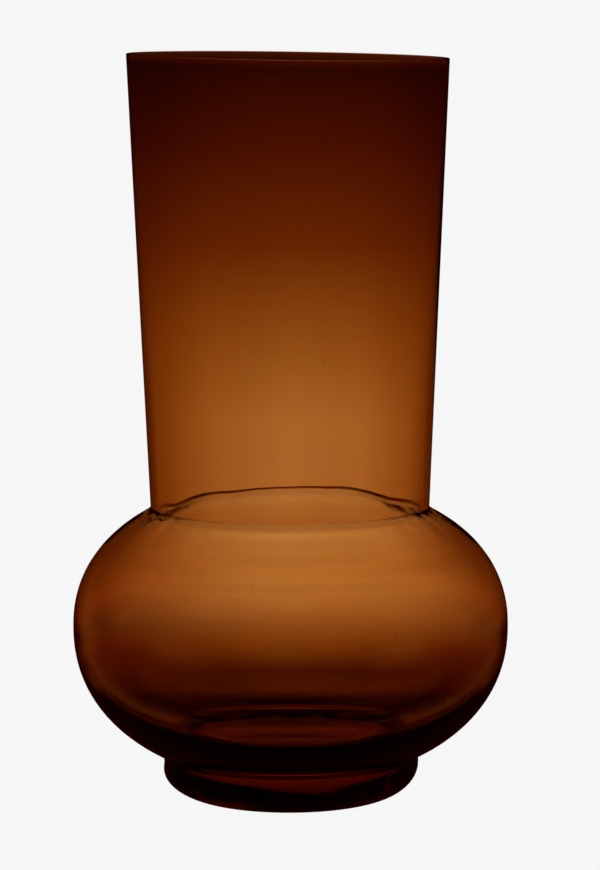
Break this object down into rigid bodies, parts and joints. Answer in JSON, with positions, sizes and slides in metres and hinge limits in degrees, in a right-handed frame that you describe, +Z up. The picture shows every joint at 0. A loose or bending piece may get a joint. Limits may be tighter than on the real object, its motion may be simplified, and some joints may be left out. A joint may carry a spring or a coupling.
{
  "type": "gourd vase",
  "caption": "Amber blown-glass vase with a wide tapering neck, a squat round bulb and a short foot; holds water and cut stems.",
  "frame": {"origin": "centre of the underside, on the surface that the vase stands on", "axes": "+Z up, along the axis that the vase is turned about; the rim falls slightly towards +X"},
  "size_m": [0.1758, 0.1758, 0.3012],
  "materials": {
    "foot_glass": "clear amber glass, fire-polished",
    "bulb_glass": "clear amber glass, fire-polished",
    "neck_glass": "clear amber glass, fire-polished"
  },
  "bodies": {
    "root": {"foot": "foot_glass", "bulb": "bulb_glass", "neck": "neck_glass"}
  },
  "joints": []
}
